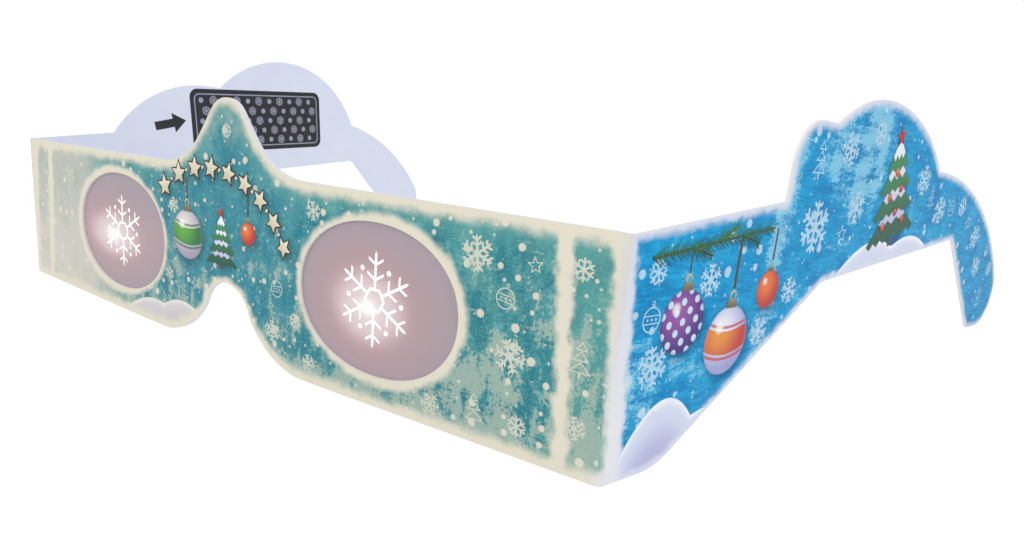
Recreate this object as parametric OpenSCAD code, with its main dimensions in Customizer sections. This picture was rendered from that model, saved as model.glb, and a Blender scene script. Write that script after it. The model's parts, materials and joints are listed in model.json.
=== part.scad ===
// Folded card viewing glasses with film lenses.
// X runs to the wearer's left, Y from the front panel back towards the ears and Z up.
// The origin is on the outer face of the front panel, on its centre line, level with its
// straight top edge. The arms stand opened for wear.

/* [Front panel] */
// Width across the two folds
front_w = 146; // [130:0.5:160]
// Height at the folds
front_h = 31; // [28:0.1:34]
// Distance from the centre line to the lowest point of each cheek
cheek_x = 20; // [18:0.5:25]
// How far the cheeks hang below the ends of the front
cheek_sag = 1.3; // [0.4:0.1:3]
// Height of the brow peak above the top edge
peak_h = 11.8; // [8:0.1:14]
// Steepness of the peak's sides, in degrees
peak_angle = 52; // [47:1:56]
// Radius of the peak's tip
peak_r = 5; // [3:0.5:7]
// Distance from the centre line to where the peak starts to rise
peak_foot = 18.5; // [17:0.5:22]

/* [Nose notch] */
// Depth of the notch's crown below the top edge
notch_top = 19.8; // [17:0.1:22]
// Depth of the narrow throat below the top edge
throat_drop = 24.6; // [23:0.1:26]
// Width of the throat
throat_w = 12.6; // [11:0.1:15]

/* [Lens windows] */
// Width of each window
lens_w = 31.2; // [26:0.1:34]
// Distance from the centre line to the middle of each window
lens_x = 34.6; // [33:0.1:38]
// Height of the card above each window
lens_brow = 4.1; // [3.5:0.1:6]
// Height of the card below each window, at the ends of the front
lens_sill = 3.7; // [3:0.1:6]
// Squareness of the window's oval, where 2 is a true ellipse
lens_power = 2.1; // [2:0.1:3]
// Margin of lens film that is caught between the cards, to each side
film_lap_x = 3; // [2:0.1:4]
// Margin of lens film that is caught above and below
film_lap_z = 2.6; // [1.5:0.1:2.8]
// Corner radius of the film
film_corner = 2; // [1:0.1:3]

/* [Card and film] */
// Thickness of the printed card
card_t = 0.42; // [0.3:0.01:0.6]
// Thickness of the backing card
back_t = 0.42; // [0.3:0.01:0.6]
// Thickness of the lens film and of the glue round it
film_t = 0.08; // [0.05:0.01:0.15]
// Distance from the fold line to the end of the backing card
back_stop = 0.6; // [0.4:0.1:3]
// Space between the backing card and an arm that is folded flat on it
fold_gap = 0.26; // [0.2:0.01:0.5]

/* [Arms] */
// Length from the fold line to the end of the ear hook
arm_reach = 137.5; // [125:0.5:150]
// Rise of the arm's top edge for each millimetre from the fold
top_slope = 0.13; // [0.05:0.01:0.2]
// Length of the level bottom edge next to the fold
root_flat = 9.7; // [6:0.1:14]
// Distance from the fold to the neck, where the arm is narrow
neck_s = 46; // [40:0.1:52]
// Depth of the neck's lower edge below the top edge
neck_drop = 8.4; // [6:0.1:12]
// Distance from the fold to the ear notch
ear_s = 99.8; // [96:0.1:104]
// Depth of the ear notch's crown below the top edge
ear_drop = 2.8; // [1:0.1:6]
// Radius of the ear notch's crown
ear_r = 2.5; // [1:0.1:5]
// Radius of the ear hook's round heel
hook_r = 7.5; // [5:0.1:9]
// Depth of the ear hook's end below the top edge
hook_drop = 24.7; // [20:0.1:28]
// Distance from the fold to the corner at the hook's toe, below the ear notch
toe_s = 123.6; // [118:0.1:127]
// Radius of that corner
toe_r = 3.5; // [1.5:0.1:5]
// Radius of the bend at the bottom of the root
root_r = 10; // [6:0.5:14]
// Radius of the bend at the neck
neck_r = 3; // [1:0.5:10]

/* [Left arm] */
// Angle that the arm opens outwards from straight back
left_splay = 20; // [0:1:25]
// Distance from the fold to the start of the first bump
left_head_s = 31.1; // [28:0.1:34]
// Distance from the fold to the corner that the first bump rounds off
left_knee_s = 31.2; // [29:0.1:34]
// Height of that corner
left_knee_rise = 16; // [14.5:0.1:18]
// Radius of the first bump
left_knee_r = 6.3; // [3:0.1:8]
// Distance from the fold to the dip between the bumps
left_dip_s = 41.8; // [39:0.1:45]
// Height of that dip
left_dip_rise = 15.5; // [13:0.1:17]
// Distance from the fold to the crown of the second bump
left_crown_s = 57.6; // [54:0.1:62]
// Height of the crown
left_crown_rise = 20.5; // [18:0.1:24]
// Distance from the fold to the dip before the hook
left_nape_s = 84.8; // [80:0.1:90]
// Height of that dip
left_nape_rise = 10.5; // [8:0.1:12]
// Direction from the middle of the hook's heel to where its back curve meets it, in degrees
left_shoulder = 43; // [35:1:50]

/* [Right arm] */
// Angle that the arm opens outwards from straight back
right_splay = 0; // [0:1:25]
// Distance from the fold to the start of the first bump
right_head_s = 17.8; // [14:0.1:22]
// Distance from the fold to the corner that the first bump rounds off
right_knee_s = 27.4; // [25:0.1:30]
// Height of that corner
right_knee_rise = 16.7; // [15:0.1:18.5]
// Radius of the first bump
right_knee_r = 30; // [15:0.5:32]
// Distance from the fold to the dip between the bumps
right_dip_s = 47.5; // [45:0.1:50]
// Height of that dip
right_dip_rise = 16.5; // [14:0.1:18]
// Distance from the fold to the crown of the second bump
right_crown_s = 71.4; // [66:0.1:76]
// Height of the crown
right_crown_rise = 26.7; // [23:0.1:29]
// Distance from the fold to the dip before the hook
right_nape_s = 99.1; // [94:0.1:102]
// Height of that dip
right_nape_rise = 9.6; // [8:0.1:12]
// Direction from the middle of the hook's heel to where its back curve meets it, in degrees
right_shoulder = 39; // [32:1:46]

/* [Hidden] */

arc_step = 1.5;
lens_steps = 96;

cheek_drop = front_h + cheek_sag;
lens_h = front_h - lens_brow - lens_sill;
lens_drop = lens_brow + lens_h / 2;
back_y = card_t + film_t;
front_t = back_y + back_t;

// The fold line lies behind the printed card, far enough for an arm to fold over onto the
// backing card. The printed card bends round it.
fold_out_r = (card_t + front_t + fold_gap) / 2;
fold_in_r = fold_out_r - card_t;
fold_x = front_w / 2 - fold_out_r;
fold_y = fold_out_r;
back_x = fold_x - back_stop;

// Points from a to b along the arc that stands h to the left of the chord between them
function swell(a, b, h) =
    let (
        chord = norm(b - a),
        r = (chord * chord / 4 + h * h) / (2 * h),
        along = (b - a) / chord,
        out = [-along[1], along[0]],
        middle = (a + b) / 2 + out * (h - r),
        half = acos((r - h) / r),
        steps = max(4, ceil(chord / arc_step))
    )
    [for (i = [0:steps]) let (t = half * (2 * i / steps - 1))
        middle + out * r * cos(t) + along * abs(r) * sin(t)];

// The rounded corner p of the way from a to b
function bend(a, p, b, r) =
    let (
        to_a = (a - p) / norm(a - p),
        to_b = (b - p) / norm(b - p),
        half = acos(to_a * to_b) / 2,
        reach = r / tan(half),
        start = p + to_a * reach,
        end = p + to_b * reach,
        side = sign(cross(end - start, p - start))
    )
    swell(start, end, side * r * (1 - sin(half)));

function ring_arc(middle, r, from, to) =
    let (steps = max(4, ceil(abs(to - from) * r * PI / 180 / arc_step)))
    [for (i = [0:steps]) let (t = from + (to - from) * i / steps)
        middle + r * [cos(t), sin(t)]];

// Half of the front's outline, from the tip of the peak round to the crown of the notch
peak_sum_r = (tan(peak_angle) * peak_foot - peak_h)
    / (tan(peak_angle) * sin(peak_angle) + cos(peak_angle) - 1);
foot_r = peak_sum_r - peak_r;
throat = [throat_w / 2, -throat_drop];
cheek = [cheek_x, -cheek_drop];
cheek_r = (pow(cheek[0] - throat[0], 2) + pow(cheek[1] - throat[1], 2))
    / (2 * (throat[1] - cheek[1]));
crown_h = throat_drop - notch_top;
crown_r = (pow(throat[0], 2) + pow(crown_h, 2)) / (2 * crown_h);

function peak_side() = concat(
    ring_arc([0, peak_h - peak_r], peak_r, 90, 90 - peak_angle),
    ring_arc([peak_foot, foot_r], foot_r, 270 - peak_angle, 270)
);
function cheek_side() = ring_arc(
    cheek + [0, cheek_r], cheek_r, 270, 270 - asin((cheek[0] - throat[0]) / cheek_r)
);
function notch_side() = ring_arc(
    [0, -notch_top - crown_r], crown_r, 90 - asin(throat[0] / crown_r), 90
);
function front_half(end_x) = concat(
    peak_side(),
    [[end_x, 0], [end_x, -front_h]],
    cheek_side(),
    [for (i = [1:len(notch_side()) - 1]) notch_side()[i]]
);

module front_outline(end_x) {
    half = front_half(end_x);
    last = len(half) - 1;
    polygon(concat(half, [for (i = [1:last - 1]) [-half[last - i][0], half[last - i][1]]]));
}

module lens_oval() {
    polygon([for (i = [0:lens_steps - 1]) let (t = 360 * i / lens_steps)
        [
            lens_w / 2 * sign(cos(t)) * pow(abs(cos(t)), 2 / lens_power),
            lens_h / 2 * sign(sin(t)) * pow(abs(sin(t)), 2 / lens_power)
        ]]);
}

module film_outline() {
    w = lens_w + 2 * film_lap_x;
    h = lens_h + 2 * film_lap_z;
    c = film_corner;
    union() {
        square([w - 2 * c, h], center = true);
        square([w, h - 2 * c], center = true);
        for (x = [c - w / 2, w / 2 - c], z = [c - h / 2, h / 2 - c])
            translate([x, z]) circle(c, $fn = 32);
    }
}

module at_lens(side) {
    translate([side * lens_x, -lens_drop]) children();
}

// Stands a flat outline up in the plane of the front, from y to y + t
module upright(y, t) {
    translate([0, y + t, 0]) rotate([90, 0, 0]) linear_extrude(t) children();
}

module front_card() {
    color("#7fb9b4") upright(0, card_t) difference() {
        front_outline(fold_x);
        for (side = [-1, 1]) at_lens(side) lens_oval();
    }
}

module back_card() {
    color("#e4e6f0") upright(back_y, back_t) difference() {
        front_outline(back_x);
        for (side = [-1, 1]) at_lens(side) lens_oval();
    }
}

// The glue covers all that the cards share, apart from the film's pockets
module glue_layer() {
    color("#f2efe2") upright(card_t, film_t) difference() {
        front_outline(back_x);
        for (side = [-1, 1]) at_lens(side) film_outline();
    }
}

module lens_film(side) {
    color("#b9a4ae", 0.6) upright(card_t, film_t) at_lens(side) film_outline();
}

module left_lens_film() lens_film(1);
module right_lens_film() lens_film(-1);

// The creased strip of the printed card, bent round the fold line
module fold(splay) {
    color("#ded9cc")
        translate([fold_x, fold_y, -front_h])
        rotate([0, 0, -90])
        rotate_extrude(angle = 90 - splay, $fn = 96)
        translate([fold_in_r, 0])
        square([card_t, front_h]);
}

module left_fold() fold(left_splay);
module right_fold() mirror([1, 0, 0]) fold(right_splay);

// The arc from a to b that is level at the higher of them
function crest(a, b) =
    let (chord = norm(b - a), lean = abs(asin((b - a)[1] / chord)))
    swell(a, b, chord / 2 * tan(lean / 2));

// Outline of an arm opened flat: distance from the fold line, then height
function arm_points(head_s, knee, knee_r, dip, crown, nape, shoulder) =
    let (
        head = [head_s, head_s * top_slope],
        end = [arm_reach - hook_r, hook_r - hook_drop],
        heel = end + hook_r * [cos(shoulder), sin(shoulder)],
        back = heel - nape,
        back_lean = 90 - shoulder + atan2(back[1], back[0]),
        ear = [ear_s, -ear_drop],
        sole = [end[0], -hook_drop],
        toe = [toe_s, -hook_drop],
        neck = [neck_s, -neck_drop],
        root = [root_flat, -front_h]
    )
    concat(
        [[0, 0]],
        [head],
        bend(head, knee, dip, knee_r),
        crest(dip, crown),
        crest(crown, nape),
        swell(nape, heel, norm(back) / 2 * tan(back_lean / 2)),
        ring_arc(end, hook_r, shoulder, -90),
        bend(sole, toe, ear, toe_r),
        bend(toe, ear, neck, ear_r),
        bend(ear, neck, root, neck_r),
        bend(neck, root, [0, -front_h], root_r),
        [[0, -front_h]]
    );

module arm(splay, points) {
    color("#4aa3d0")
        translate([fold_x, fold_y, 0])
        rotate([0, 0, -splay])
        translate([fold_in_r, 0, 0])
        rotate([90, 0, 90])
        linear_extrude(card_t)
        polygon(points);
}

module left_arm() arm(
    left_splay,
    arm_points(
        left_head_s, [left_knee_s, left_knee_rise], left_knee_r, [left_dip_s, left_dip_rise],
        [left_crown_s, left_crown_rise], [left_nape_s, left_nape_rise], left_shoulder
    )
);

module right_arm() mirror([1, 0, 0]) arm(
    right_splay,
    arm_points(
        right_head_s, [right_knee_s, right_knee_rise], right_knee_r, [right_dip_s, right_dip_rise],
        [right_crown_s, right_crown_rise], [right_nape_s, right_nape_rise], right_shoulder
    )
);

front_card();
back_card();
glue_layer();
left_lens_film();
right_lens_film();
left_fold();
right_fold();
left_arm();
right_arm();
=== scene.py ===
import json
import math
import random

import bmesh
import bpy
import numpy as np
from mathutils import Matrix, Vector


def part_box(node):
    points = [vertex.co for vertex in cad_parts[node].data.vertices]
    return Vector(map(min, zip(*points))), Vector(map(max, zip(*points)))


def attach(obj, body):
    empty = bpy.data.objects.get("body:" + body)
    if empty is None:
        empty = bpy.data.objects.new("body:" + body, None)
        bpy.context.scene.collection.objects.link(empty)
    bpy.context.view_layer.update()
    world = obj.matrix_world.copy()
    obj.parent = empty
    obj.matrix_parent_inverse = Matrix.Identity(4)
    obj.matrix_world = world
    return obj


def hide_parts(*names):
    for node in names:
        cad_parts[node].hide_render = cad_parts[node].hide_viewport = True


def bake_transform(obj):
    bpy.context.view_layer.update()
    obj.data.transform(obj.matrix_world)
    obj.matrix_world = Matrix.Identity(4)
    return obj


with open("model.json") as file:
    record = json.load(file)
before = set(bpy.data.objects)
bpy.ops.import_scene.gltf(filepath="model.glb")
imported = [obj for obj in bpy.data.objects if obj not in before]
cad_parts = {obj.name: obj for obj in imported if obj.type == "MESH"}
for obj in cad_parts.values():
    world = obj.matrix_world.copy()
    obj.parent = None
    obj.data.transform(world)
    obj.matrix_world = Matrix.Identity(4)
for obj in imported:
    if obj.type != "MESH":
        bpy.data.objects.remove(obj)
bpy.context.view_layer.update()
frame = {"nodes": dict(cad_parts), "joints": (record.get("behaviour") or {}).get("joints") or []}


# The camera stands close to the wearer's left and a little above the glasses, which makes the
# near arm look large. Its lens and aim come from the corners of the card.
photo_w = 1024
photo_h = 547
focal_px = 631.4
aim_px = (497.9, 280.6)
turn = math.radians(31.61)
lift = math.radians(12.37)
roll = math.radians(5.19)
standpoint = Vector((0.09685, -0.06666, 0.00864))

upright = Vector((0, 0, 1))
ahead = Vector((-math.sin(turn) * math.cos(lift), math.cos(turn) * math.cos(lift), -math.sin(lift)))
level = ahead.cross(upright).normalized()
above = level.cross(ahead)
to_right = math.cos(roll) * level + math.sin(roll) * above
to_top = math.cos(roll) * above - math.sin(roll) * level

bpy.ops.object.camera_add()
camera = bpy.context.object
aimed = Matrix((to_right, to_top, -ahead)).transposed().to_4x4()
camera.matrix_world = Matrix.Translation(standpoint) @ aimed
camera.data.sensor_width = 36
camera.data.lens = focal_px / photo_w * camera.data.sensor_width
camera.data.shift_x = (photo_w / 2 - aim_px[0]) / photo_w
camera.data.shift_y = (aim_px[1] - photo_h / 2) / photo_w
camera.data.clip_start = 0.005
bpy.context.scene.camera = camera
bpy.context.scene.view_settings.view_transform = "Standard"


# The table is a plain pale sheet. The glasses stand on it as card glasses do, on both cheeks
# and an ear hook, so it slopes up to the hooks and the frame of the glasses stays upright.
mm = 0.001
table_size = 4.0
behind_ears = 0.06
sheet_glow = 1.3
glow_share = 0.55


class Ink:
    """One value or colour that a surface's nodes give. A finish is written as arithmetic on
    inks, and each sum or product adds the nodes that work it out."""

    def __init__(self, tree, socket=None):
        self.tree = tree
        self.socket = socket

    def node(self, kind, settings=None, values=None, output=0):
        made = self.tree.nodes.new(kind)
        for name, setting in (settings or {}).items():
            setattr(made, name, setting)
        for name, value in (values or {}).items():
            if isinstance(value, Ink):
                self.tree.links.new(value.socket, made.inputs[name])
            else:
                made.inputs[name].default_value = value
        return Ink(self.tree, made.outputs[output])

    def math(self, operation, *values):
        return self.node("ShaderNodeMath", {"operation": operation}, dict(enumerate(values)))

    def __add__(self, other):
        return self.math("ADD", self, other)

    def __radd__(self, other):
        return self.math("ADD", other, self)

    def __sub__(self, other):
        return self.math("SUBTRACT", self, other)

    def __rsub__(self, other):
        return self.math("SUBTRACT", other, self)

    def __mul__(self, other):
        return self.math("MULTIPLY", self, other)

    def __truediv__(self, other):
        return self.math("DIVIDE", self, other)

    def __pow__(self, other):
        return self.math("POWER", self, other)

    def __abs__(self):
        return self.math("ABSOLUTE", self)

    def rise(self, low, high):
        """0 below low and 1 above high, with a soft step between, or the reverse if low > high."""
        settings = {"interpolation_type": "SMOOTHSTEP"}
        return self.node("ShaderNodeMapRange", settings, {"Value": self, "From Min": low, "From Max": high})

    def paint(self, share, ground, colour):
        """A colour laid over a ground colour by a share from 0 to 1."""
        return self.node("ShaderNodeMix", {"data_type": "RGBA"}, {0: share, 6: ground, 7: colour}, output=2)

    def scaled(self, x, y, z=1):
        return self.node("ShaderNodeVectorMath", {"operation": "MULTIPLY"}, {0: self, 1: (x, y, z)})

    def cloud(self, size, detail, roughness):
        """Soft noise about 0.5, in patches of about this size."""
        values = {"Vector": self, "Scale": 1 / size, "Detail": detail, "Roughness": roughness}
        return self.node("ShaderNodeTexNoise", None, values)

    def relief(self, strength, depth):
        """The slight unevenness that a surface has when this is its height."""
        values = {"Strength": strength, "Distance": depth, "Height": self}
        return self.node("ShaderNodeBump", None, values)

    def part(self, axis):
        return self.node("ShaderNodeSeparateXYZ", None, {0: self}, output="XYZ".index(axis))

    def away(self, x, y):
        """Distance in the plane of the print from the point x, y."""
        return ((self.part("X") - x) ** 2 + (self.part("Y") - y) ** 2) ** 0.5

    def place(self):
        """A place on the piece itself, in millimetres."""
        return self.node("ShaderNodeTexCoord", output="Object").scaled(1 / mm, 1 / mm, 1 / mm)

    def noted(self, name):
        """A number that the mesh keeps at each point under this name."""
        return self.node("ShaderNodeAttribute", {"attribute_name": name}, output="Fac")

    def noted_place(self, name):
        """A place that the mesh keeps at each point under this name, in millimetres."""
        return self.node("ShaderNodeAttribute", {"attribute_name": name}, output="Vector")


def rgb(red, green, blue):
    """A printed colour, given as it looks in 0 to 255."""
    return tuple(
        c / 12.92 if c <= 0.04045 else ((c + 0.055) / 1.055) ** 2.4
        for c in (red / 255, green / 255, blue / 255)
    ) + (1,)


def finish(name):
    """A new material, and an empty Ink to start its nodes from."""
    material = bpy.data.materials.new(name)
    material.use_nodes = True
    return material, Ink(material.node_tree)


def shade(ink, **values):
    """Sets the surface shader's sockets, named with _ for a space."""
    shader = ink.tree.nodes["Principled BSDF"]
    for name, value in values.items():
        socket = shader.inputs[name.replace("_", " ")]
        if isinstance(value, Ink):
            ink.tree.links.new(value.socket, socket)
        else:
            socket.default_value = value


cheek_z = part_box("front_card")[0].z
rest_slope = min(
    (v.co.z - cheek_z) / v.co.y
    for arm in ("left_arm", "right_arm")
    for v in frame["nodes"][arm].data.vertices
    if v.co.y > behind_ears
)
bpy.ops.mesh.primitive_plane_add(size=table_size, location=(0, 0, cheek_z))
table = bpy.context.object
table.rotation_euler.x = math.atan(rest_slope)
table.name = "table"

table_sheet, ink = finish("table_sheet")
shade(ink, Base_Color=rgb(250, 250, 250), Roughness=1.0)
seen = ink.node("ShaderNodeLightPath", output="Is Camera Ray")
glow = ink.node("ShaderNodeEmission", None, {"Color": (1, 1, 1, 1), "Strength": sheet_glow})
matt = Ink(ink.tree, ink.tree.nodes["Principled BSDF"].outputs[0])
lifted = ink.node("ShaderNodeMixShader", None, {0: seen * glow_share, 1: matt, 2: glow})
ink.tree.links.new(lifted.socket, ink.tree.nodes["Material Output"].inputs["Surface"])
table.data.materials.append(table_sheet)


# The room is white all round. Two soft lamps stand in front, the larger one above the wearer's
# right and the other on the near side.
room_light = 0.78
room_sheen = 0.4
middle = Vector((0, 0.05, -0.01))

world = bpy.data.worlds.new("studio")
bpy.context.scene.world = world
world.use_nodes = True
ink = Ink(world.node_tree)
seen, through, mirrored = [
    ink.node("ShaderNodeLightPath", output="Is %s Ray" % kind)
    for kind in ("Camera", "Transmission", "Glossy")
]
background = world.node_tree.nodes["Background"]
background.inputs["Color"].default_value = (1, 1, 1, 1)
strength = room_light + (seen + through).rise(0, 1) * (1 - room_light)
strength = strength + mirrored * (room_sheen - room_light)
world.node_tree.links.new(strength.socket, background.inputs["Strength"])

for name, lamp_at, size, power in (
    ("window_light", Vector((-0.35, -0.75, 0.75)), 0.7, 2.4),
    ("side_light", Vector((0.75, -0.5, 0.5)), 0.6, 1.3),
):
    bpy.ops.object.light_add(type="AREA", location=lamp_at)
    lamp = bpy.context.object
    lamp.name = name
    lamp.data.size = size
    lamp.data.energy = power
    lamp.rotation_euler = (middle - lamp_at).to_track_quat("-Z", "Y").to_euler()


# The front's outer ply is printed card, die-cut with the brow peak, the nose notch and the two
# windows. Its print stops short of every cut, in a soft cream margin, and has a pale stripe
# before each fold. The card's cut edges show its white core.
forwards = Vector((0, -1, 0))
ruling = 1.0 * mm
merge_gap = 1e-6
far_off = 99.0
inner_reach = (50.8, -28.5, -3.0)
fold_x = frame["joints"][0]["pos_m"][0] / mm
fold_slack = 0.4
stripe_x = fold_x - 7.35
band_x = fold_x - 0.4
band_middle = (0.95, -14)
band_lean = 0.085
faces_out = 0.9
faces_aside = 0.1

cream = rgb(229, 223, 204)
teal = rgb(58, 148, 156)
deep_teal = rgb(30, 120, 136)
sea = rgb(100, 168, 164)
end_green = rgb(100, 170, 158)
sage = rgb(164, 185, 172)
painted_shadow_teal = rgb(10, 50, 62)


def select_only(*pieces):
    bpy.ops.object.select_all(action="DESELECT")
    bpy.context.view_layer.objects.active = pieces[0]
    for piece in pieces:
        piece.select_set(True)


def pick_all():
    bpy.ops.mesh.select_all(action="SELECT")


def merged_copy(node, name):
    """A copy of a CAD node, with its loose triangles merged and no material."""
    piece = bpy.data.objects.new(name, frame["nodes"][node].data.copy())
    bpy.context.collection.objects.link(piece)
    piece.data.materials.clear()
    select_only(piece)
    bpy.ops.object.mode_set(mode="EDIT")
    pick_all()
    bpy.ops.mesh.remove_doubles(threshold=merge_gap)
    bpy.ops.object.mode_set(mode="OBJECT")
    return piece


def ruled_copy(node, name, out):
    """A merged copy of a card that faces along out, cut into small cells for its print."""
    piece = merged_copy(node, name)
    bpy.ops.object.mode_set(mode="EDIT")
    for direction in (upright.cross(out), upright):
        reach = [direction.dot(v.co) for v in frame["nodes"][node].data.vertices]
        for i in range(1, int((max(reach) - min(reach)) / ruling)):
            pick_all()
            bpy.ops.mesh.bisect(plane_co=direction * (min(reach) + i * ruling), plane_no=direction)
    bpy.ops.object.mode_set(mode="OBJECT")
    return piece


def note(piece, name, values):
    """Keeps a number, or a place, at each point of a mesh for its finish to read."""
    values = np.array(values, np.float32)
    kind, field = ("FLOAT", "value") if values.ndim == 1 else ("FLOAT_VECTOR", "vector")
    piece.data.attributes.new(name, kind, "POINT").data.foreach_set(field, values.ravel())


def cut_edges(piece, out):
    """The ends of each edge where the card's outer face meets one of its cut sides."""
    leans = {}
    for face in piece.data.polygons:
        for edge in face.edge_keys:
            leans.setdefault(edge, []).append(face.normal.dot(out))
    return [edge for edge, lean in leans.items() if max(lean) > faces_out and abs(min(lean)) < faces_aside]


def distance_to(spots, edges):
    """How far each spot is from the nearest of these edges."""
    nearest = np.full(len(spots), far_off)
    for a, b in edges:
        along = b - a
        share = np.clip((spots - a) @ along / max(along @ along, 1e-12), 0, 1)
        nearest = np.minimum(nearest, np.linalg.norm(spots - a - share[:, None] * along, axis=1))
    return nearest


def lay_out(piece, out, fold):
    """Notes each point's place on the flat blank, and its distance from the outer cuts and from
    the windows and the top of the nose notch. The blank runs on past the folds, so that one
    print covers the front and the arms. Gives the places."""
    out_at = np.array(out)
    spots = np.array([v.co for v in piece.data.vertices]) / mm
    x = fold[0] / mm + (spots - np.array(fold) * (1, 1, 0) / mm) @ np.array(upright.cross(out))
    blank = np.stack([x, spots[:, 2], 0 * x], 1)
    note(piece, "blank", blank)
    flush = spots + (max(spots @ out_at) - spots @ out_at)[:, None] * out_at
    edges = cut_edges(piece, out)
    side, low, high = inner_reach
    inner = [e for e in edges if all(abs(spots[i][0]) < side and low < spots[i][2] < high for i in e)]
    folds = [e for e in edges if all(abs(abs(x[i]) - fold_x) < fold_slack for i in e)]
    outer = set(edges) - set(inner) - set(folds)
    note(piece, "rim", distance_to(flush, [(flush[i], flush[j]) for i, j in outer]))
    note(piece, "inner_rim", distance_to(flush, [(flush[i], flush[j]) for i, j in inner]))
    return blank


def face_with(piece, out, outer, inner, cut):
    """Gives a card its outer and inner finishes and the finish of its cut edges."""
    for material in (outer, inner, cut):
        piece.data.materials.append(material)
    for face in piece.data.polygons:
        lean = face.normal.dot(out)
        face.material_index = 0 if lean > 0.5 else 1 if lean < -0.5 else 2


def snow_dots(blank, spacing, largest, share):
    """Round printed dots of mixed sizes, one at most in each cell."""
    cells = {"Vector": blank, "Scale": 1 / spacing, "Randomness": 0.9}
    flat = {"voronoi_dimensions": "2D"}
    away = blank.node("ShaderNodeTexVoronoi", flat, cells, output="Distance") * spacing
    draw = blank.node("ShaderNodeTexVoronoi", flat, cells, output="Color")
    chance = draw.node("ShaderNodeSeparateColor", None, {0: draw})
    return ((chance - (1 - share)) / share * largest - away).rise(-0.06, 0.12)


def bands(x, z, fray, side):
    """How much ink there is beside the pale stripe and the pale band along a fold, which lean a
    little. The side is 1 for the front and -1 for an arm."""
    along = abs(x - band_middle[0]) + (z - band_middle[1]) * band_lean
    stripe = (abs(along - stripe_x) + fray * 2.4).rise(0.5, 1.6)
    fold = ((band_x - along) * side + fray * 2.4).rise(0.4, 1.7)
    return stripe * fold


def far_grey(ink, z):
    """The front's right end is faded almost to the card, most at its foot."""
    return ink.paint(z.rise(-6, -22), rgb(197, 199, 187), rgb(217, 211, 201))


def fold_white(ink, x, z):
    """The bare card beside a fold, which is cooler at the fold and lighter towards its foot."""
    cool = ink.paint(z.rise(-4, -24), rgb(218, 216, 212), rgb(228, 228, 228))
    return ink.paint((abs(x) - fold_x).rise(-1.4, 0.6), cream, cool)


def snow_over(ink, tone, fray, top, middle, low):
    """Lays printed snow over the colour, up to the line that the mesh notes."""
    drift = ink.noted("drift")
    snow = ink.paint(drift.rise(-8, -1), low, middle)
    snow = ink.paint((drift + fray * 1.5).rise(-0.2, -1.3), top, snow)
    return ink.paint(drift.rise(0.1, -0.1), tone, snow)


printed_teal, ink = finish("printed_card_teal")
blank = ink.noted_place("blank")
x = blank.part("X")
z = blank.part("Y")
fray = blank.cloud(2.6, 3, 0.55) - 0.5
blotch = blank.cloud(6, 4, 0.65)
drip = blank.scaled(1, 0.28).cloud(2.4, 5, 0.7)
grain = blank.cloud(0.5, 3, 0.75)
tone = ink.paint(drip.rise(0.38, 0.62), deep_teal, teal)
tone = ink.paint((blotch * 0.6 + grain * 0.4).rise(0.44, 0.6) * 0.75, tone, sea)
speck = blank.cloud(0.26, 2, 0.8)
dab = blank.scaled(0.24, 1.4).cloud(1.5, 3, 0.55)
tone = ink.paint((dab * 0.8 + speck * 0.2).rise(0.6, 0.66) * 0.6, tone, sage)
dash = blank.scaled(0.22, 1).cloud(0.45, 3, 0.7)
tone = ink.paint(dash.rise(0.54, 0.64) * 0.4, tone, deep_teal)
tone = ink.paint(dash.rise(0.45, 0.36) * 0.35, tone, sea)
tone = ink.paint(abs(x).rise(30, 12) * 0.4, tone, rgb(30, 134, 164))
frosting = blank.cloud(4, 5, 0.75)
tone = ink.paint(frosting.rise(0.54, 0.64) * 0.5, tone, rgb(122, 186, 184))
tone = ink.paint(frosting.rise(0.46, 0.38) * 0.5, tone, deep_teal)
tone = ink.paint(abs(x).rise(64, 67) * 0.45, tone, end_green)
tone = ink.paint(ink.noted("rim").rise(5, 2) * 0.45, tone, sea)
tone = ink.paint(z.rise(2, 8) * blotch.rise(0.42, 0.56) * 0.45, tone, sage)
streak = blank.scaled(1, 0.12).cloud(1.1, 4, 0.7)
worn = blotch * 0.42 + drip * 0.38 + streak * 0.2 + (grain - 0.5) * 0.26 - z * 0.0055 + abs(x) * 0.0008
bald = worn.rise(0.645, 0.69)
tone = ink.paint(bald * 0.9, tone, sage)
tone = ink.paint(bald * speck.rise(0.42, 0.34) * 0.8, tone, teal)
tone = ink.paint(speck.rise(0.58, 0.68) * 0.45, tone, sage)
crack = blank.scaled(1, 0.06).cloud(0.7, 4, 0.8)
tone = ink.paint(crack.rise(0.66, 0.72) * drip.rise(0.5, 0.6) * 0.6, tone, rgb(20, 84, 96))
faded = (blank.cloud(11, 3, 0.6) * 14 - x).rise(43, 58)
far_tone = ink.paint(blotch.rise(0.54, 0.66) * 0.3, far_grey(ink, z), rgb(150, 174, 166))
tone = ink.paint(faded * 0.9, tone, far_tone)
tone = ink.paint(snow_dots(blank, 2.7, 0.68, 0.52) * 0.85, tone, cream)
tone = ink.paint(snow_dots(blank, 1.9, 0.32, 0.4) * 0.7, tone, cream)
# Painted shadow: dark teal where the mesh notes the motifs' soft cast shadows.
tone = ink.paint(ink.noted("shadow") * 0.6, tone, painted_shadow_teal)
tone = snow_over(ink, tone, fray, rgb(232, 230, 226), rgb(214, 210, 212), rgb(186, 180, 194))
brow = abs(x).rise(17, 9) * z.rise(-3, 1)
nose_side = abs(x).rise(38, 24)
inked = (ink.noted("rim") + fray * 2.0 + brow * 0.6).rise(0.6, 2.6)
inked = inked * (ink.noted("inner_rim") + fray * 1.6 + nose_side * 0.7).rise(0.8, 2.2)
tone = ink.paint(inked * bands(x, z, fray, 1), fold_white(ink, x, z), tone)
sheen = 0.4 + grain * 0.12
paper = blank.cloud(0.16, 3, 0.6).relief(0.12, 0.03 * mm)
shade(ink, Base_Color=tone, Roughness=sheen, Specular_IOR_Level=0.25, Normal=paper)

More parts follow.
